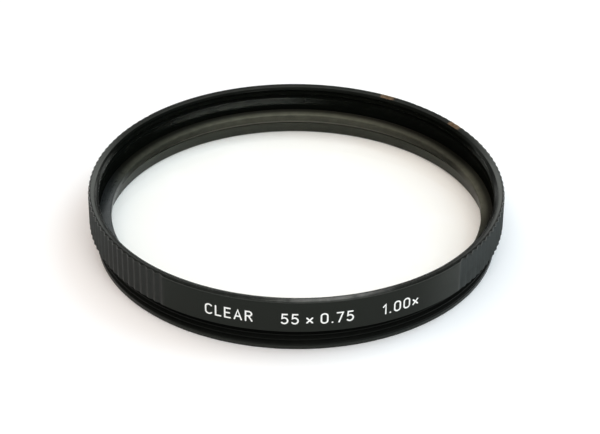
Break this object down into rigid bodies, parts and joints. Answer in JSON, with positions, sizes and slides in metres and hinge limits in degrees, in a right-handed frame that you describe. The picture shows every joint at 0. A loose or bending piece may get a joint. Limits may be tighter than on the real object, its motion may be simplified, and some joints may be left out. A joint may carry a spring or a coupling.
{
  "type": "screw-in lens filter",
  "caption": "Round clear screw-in lens filter: black knurled ring with a rear male and a front female thread, glass disc and spring ring that holds it.",
  "frame": {"origin": "centre of the rear face, which the filter lies on", "axes": "+Z along the optical axis from the rear male thread to the front lip; -Y towards the middle of the smooth marking face"},
  "size_m": [0.057, 0.057, 0.0082],
  "materials": {
    "black_ring": "satin",
    "clear_glass": "polished",
    "black_keeper": "satin"
  },
  "bodies": {
    "root": {"filter_ring": "black_ring", "filter_glass": "clear_glass", "retaining_ring": "black_keeper"}
  },
  "joints": []
}
